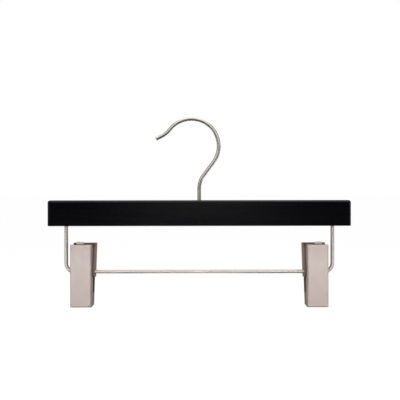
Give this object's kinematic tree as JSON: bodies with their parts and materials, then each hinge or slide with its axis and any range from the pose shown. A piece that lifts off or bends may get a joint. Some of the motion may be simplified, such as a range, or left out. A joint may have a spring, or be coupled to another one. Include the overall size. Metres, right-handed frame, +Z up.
{
  "type": "skirt hanger",
  "caption": "Small skirt hanger: flat black wooden bar, swivel wire hook, and sprung metal clips that slide along a U-shaped wire below the bar.",
  "frame": {"origin": "on the hook's inner face straight above the shank, where the rail carries the hanger", "axes": "+X along the bar to the viewer's right, +Y to the back, +Z up along the shank"},
  "size_m": [0.306, 0.0205, 0.1915],
  "materials": {
    "lacquered_wood": "black satin lacquer on close-grained wood",
    "hook_wire": "satin nickel plate on drawn wire",
    "bar_wire": "satin nickel plate on drawn wire",
    "pressed_steel": "blasted satin nickel plate on pressed sheet",
    "spring_strip": "nickel plate on tempered strip",
    "zinc_steel": "zinc plate",
    "grip_rubber": "matt black rubber"
  },
  "bodies": {
    "hook": {"swivel_hook": "hook_wire", "hook_washer": "zinc_steel", "hook_nut": "zinc_steel"},
    "bar": {"wooden_bar": "lacquered_wood", "clip_bar": "bar_wire"},
    "left_carrier": {"left_spring": "spring_strip"},
    "left_front": {"left_front_jaw": "pressed_steel", "left_front_pad": "grip_rubber"},
    "left_rear": {"left_rear_jaw": "pressed_steel", "left_rear_pad": "grip_rubber"},
    "right_carrier": {"right_spring": "spring_strip"},
    "right_front": {"right_front_jaw": "pressed_steel", "right_front_pad": "grip_rubber"},
    "right_rear": {"right_rear_jaw": "pressed_steel", "right_rear_pad": "grip_rubber"}
  },
  "joints": [
    {"name": "hook_swivel", "type": "hinge", "parent": "hook", "child": "bar", "pos_m": [0, 0, -0.07959], "axis": [0, 0, 1], "continuous": true},
    {"name": "left_slide", "type": "slide", "parent": "bar", "child": "left_carrier", "axis": [1, 0, 0], "range_m": [0, 0.105]},
    {"name": "left_turn", "type": "hinge", "parent": "left_carrier", "child": "left_front", "pos_m": [-0.1182, 0, -0.15229], "axis": [1, 0, 0], "continuous": true, "deforming": ["left_spring"]},
    {"name": "left_open", "type": "hinge", "parent": "left_front", "child": "left_rear", "pos_m": [-0.1182, 0, -0.15229], "axis": [1, 0, 0], "range_deg": [0, 18], "stiffness_Nm_per_rad": 0.35, "springref_deg": -34.38, "deforming": ["left_spring"]},
    {"name": "right_slide", "type": "slide", "parent": "bar", "child": "right_carrier", "axis": [-1, 0, 0], "range_m": [0, 0.105]},
    {"name": "right_turn", "type": "hinge", "parent": "right_carrier", "child": "right_front", "pos_m": [0.1182, 0, -0.15229], "axis": [1, 0, 0], "continuous": true, "deforming": ["right_spring"]},
    {"name": "right_open", "type": "hinge", "parent": "right_front", "child": "right_rear", "pos_m": [0.1182, 0, -0.15229], "axis": [1, 0, 0], "range_deg": [0, 18], "stiffness_Nm_per_rad": 0.35, "springref_deg": -34.38, "deforming": ["right_spring"]}
  ]
}
